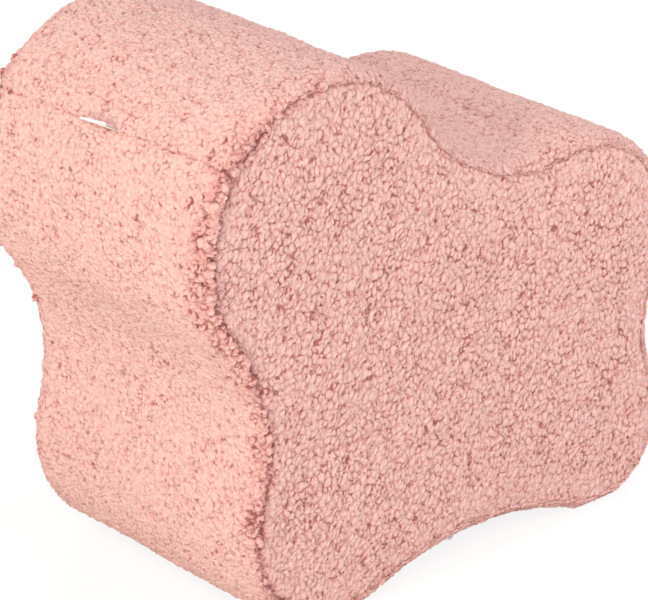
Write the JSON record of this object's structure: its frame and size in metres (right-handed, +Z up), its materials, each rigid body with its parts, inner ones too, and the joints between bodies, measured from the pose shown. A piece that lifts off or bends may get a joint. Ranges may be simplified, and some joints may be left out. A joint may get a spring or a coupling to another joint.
{
  "type": "children's foam seat",
  "caption": "Low foam seat for a child with a rounded back hump, wavy front lobe, two feet and an arch beneath, in a zipped teddy-pile cover.",
  "frame": {"origin": "on the floor, under the middle of the seat's box", "axes": "+X from the back hump to the seat's front, +Y across the seat, +Z up"},
  "size_m": [0.4398, 0.24, 0.4],
  "materials": {
    "pile_cloth": "curly teddy pile, matt",
    "foam": "open-cell foam, matt",
    "liner": "thin plain weave",
    "thread": "twisted polyester",
    "label_satin": "satin, folded double",
    "zip_tape": "woven herringbone",
    "zip_teeth": "moulded coil, satin",
    "zip_metal": "satin, die cast"
  },
  "bodies": {
    "seat": {"foam_core": "foam", "inner_liner": "liner", "side_panel_near": "pile_cloth", "side_panel_far": "pile_cloth", "back_strip": "pile_cloth", "seat_strip": "pile_cloth", "side_thread_near": "thread", "side_thread_far": "thread", "hump_thread": "thread", "arch_thread": "thread", "zip_thread": "thread", "blank_label": "label_satin", "zip_tape_back": "zip_tape", "zip_tape_front": "zip_tape", "zip_teeth_back": "zip_teeth", "zip_teeth_front": "zip_teeth", "zip_top_stops": "zip_metal", "zip_bottom_stop": "zip_metal"},
    "slider": {"zip_slider": "zip_metal"},
    "pull": {"zip_pull": "zip_metal"}
  },
  "joints": [
    {"name": "zip_slide", "type": "slide", "parent": "seat", "child": "slider", "axis": [0, 1, 0], "range_m": [0, 0.179], "deforming": ["zip_teeth_back", "zip_teeth_front"]},
    {"name": "pull_hinge", "type": "hinge", "parent": "slider", "child": "pull", "pos_m": [0.03036, -0.09, 0.02012], "axis": [1, 0, 0], "range_deg": [-80, 80]}
  ]
}
